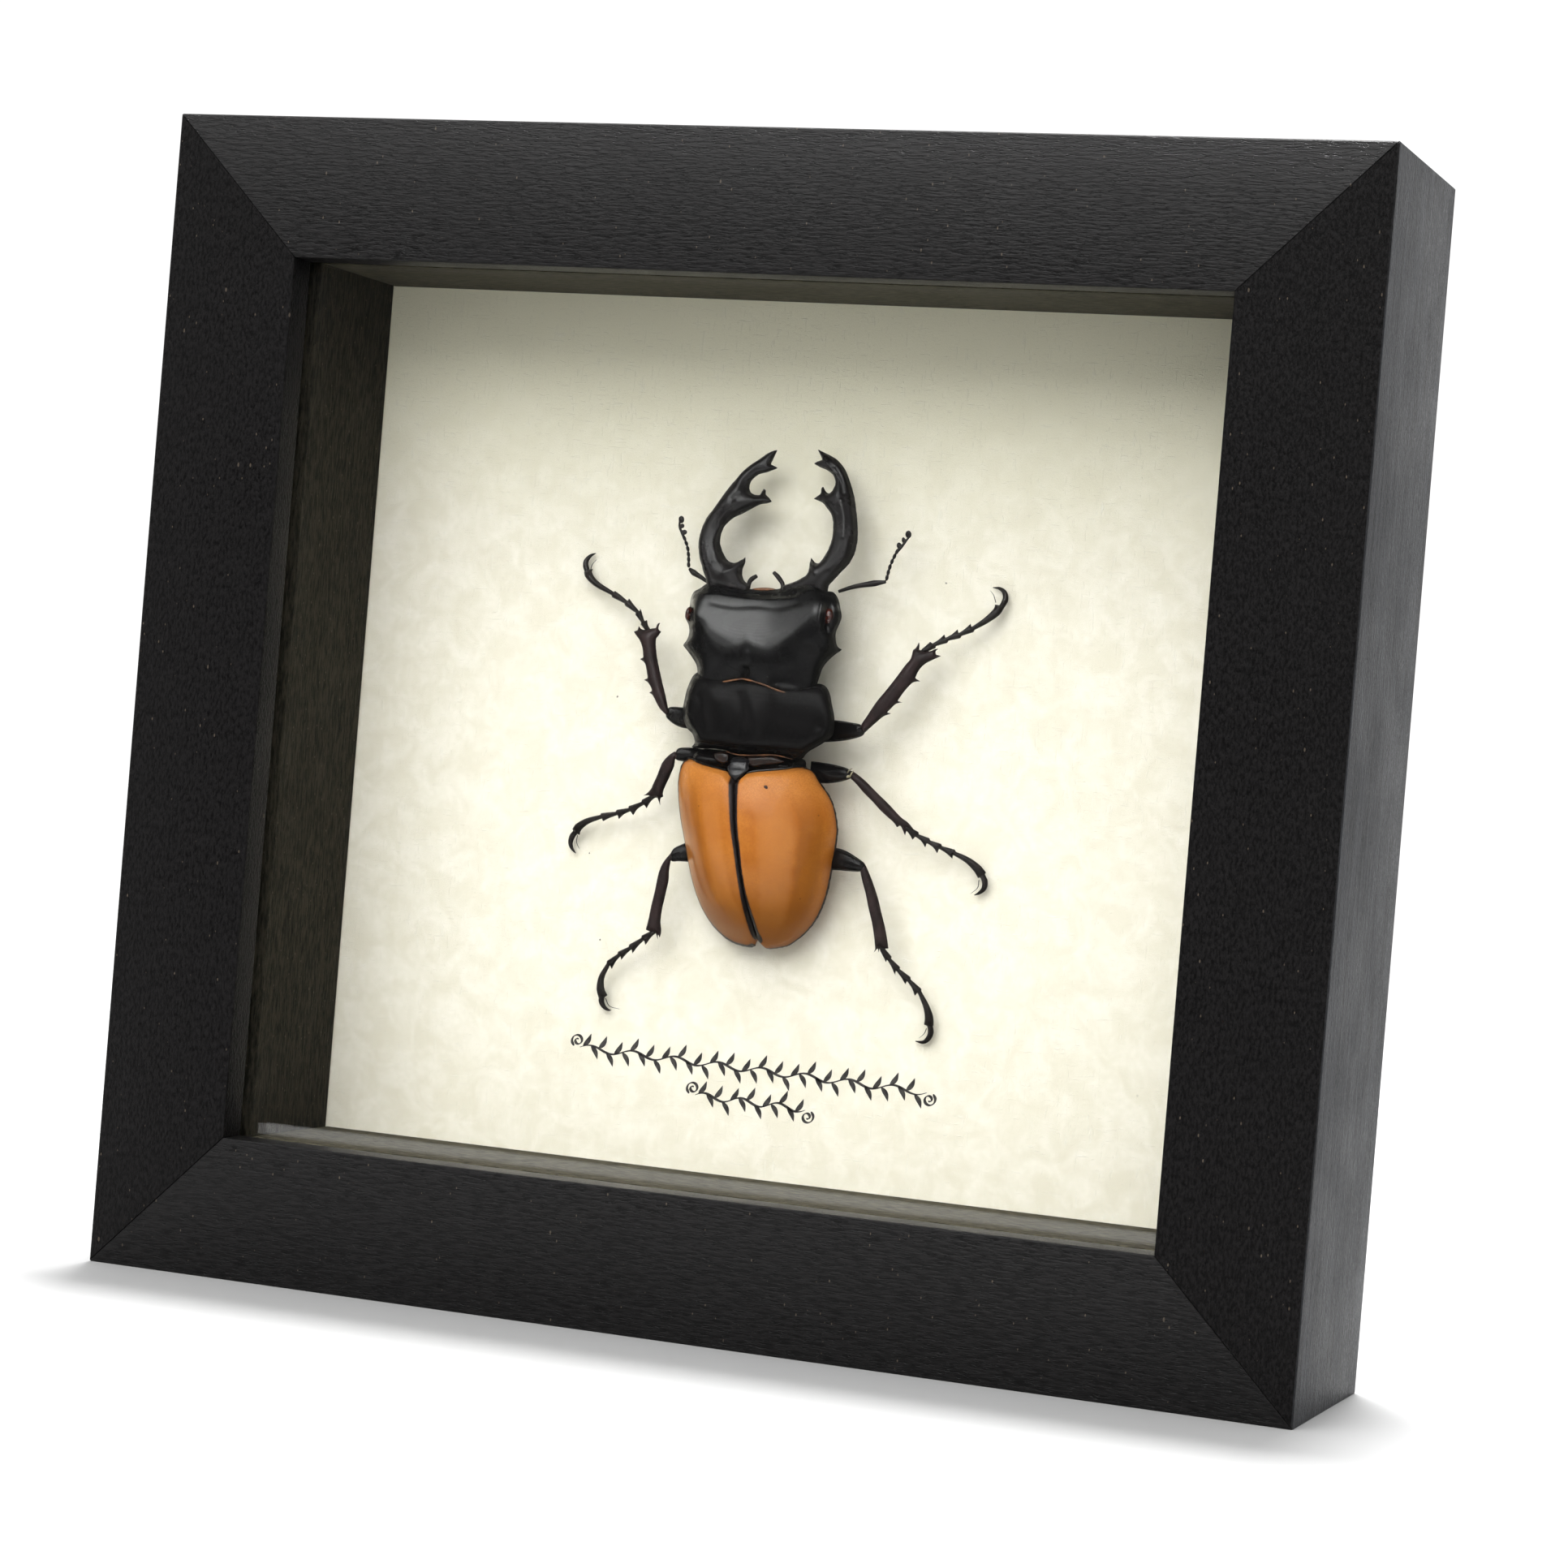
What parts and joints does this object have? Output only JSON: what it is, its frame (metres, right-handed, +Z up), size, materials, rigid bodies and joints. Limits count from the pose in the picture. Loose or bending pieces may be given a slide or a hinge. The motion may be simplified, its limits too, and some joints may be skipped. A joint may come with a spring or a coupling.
{
  "type": "framed stag beetle specimen",
  "caption": "Shadow-box frame of black-stained wood with glass, holding a spread stag beetle with toothed jaws and orange wing cases on cream paper.",
  "frame": {"origin": "centre of the object's box, at the underside of the lower rail", "axes": "+Z up along the beetle towards its jaws, -Y out of the glass towards the viewer, +X to the viewer's right"},
  "size_m": [0.1764, 0.0402, 0.165],
  "materials": {
    "stained_wood": "black stain, closed fine grain, low sheen",
    "glass": "clear float glass",
    "liner_wood": "black stained strips, matt",
    "paper": "cream parchment paper with a dark pen flourish",
    "hardboard": "brown hardboard",
    "steel": "thin zinc-plated sheet",
    "chitin": "black beetle cuticle, satin to glossy",
    "wing_case": "glossy orange wing case with a black seam and rim"
  },
  "bodies": {
    "root": {"rail_bottom": "stained_wood", "rail_left": "stained_wood", "rail_top": "stained_wood", "rail_right": "stained_wood", "glass_pane": "glass", "liner_bottom": "liner_wood", "liner_left": "liner_wood", "liner_top": "liner_wood", "liner_right": "liner_wood", "backing_paper": "paper", "backing_board": "hardboard", "retaining_point_bottom_a": "steel", "retaining_point_bottom_b": "steel", "retaining_point_top_a": "steel", "retaining_point_top_b": "steel", "retaining_point_left_a": "steel", "retaining_point_left_b": "steel", "retaining_point_right_a": "steel", "retaining_point_right_b": "steel", "sawtooth_hanger": "steel", "hanger_nail_left": "steel", "hanger_nail_right": "steel", "beetle_head": "chitin", "beetle_pronotum": "chitin", "beetle_hind_body": "chitin", "scutellum": "chitin", "mandible_left": "chitin", "mandible_right": "chitin", "antenna_left": "chitin", "antenna_right": "chitin", "palp_left": "chitin", "palp_right": "chitin", "leg_front_left_femur": "chitin", "leg_front_left_tibia": "chitin", "leg_front_left_tarsus": "chitin", "leg_front_right_femur": "chitin", "leg_front_right_tibia": "chitin", "leg_front_right_tarsus": "chitin", "leg_middle_left_femur": "chitin", "leg_middle_left_tibia": "chitin", "leg_middle_left_tarsus": "chitin", "leg_middle_right_femur": "chitin", "leg_middle_right_tibia": "chitin", "leg_middle_right_tarsus": "chitin", "leg_hind_left_femur": "chitin", "leg_hind_left_tibia": "chitin", "leg_hind_left_tarsus": "chitin", "leg_hind_right_femur": "chitin", "leg_hind_right_tibia": "chitin", "leg_hind_right_tarsus": "chitin", "elytron_left": "wing_case", "elytron_right": "wing_case"}
  },
  "joints": []
}
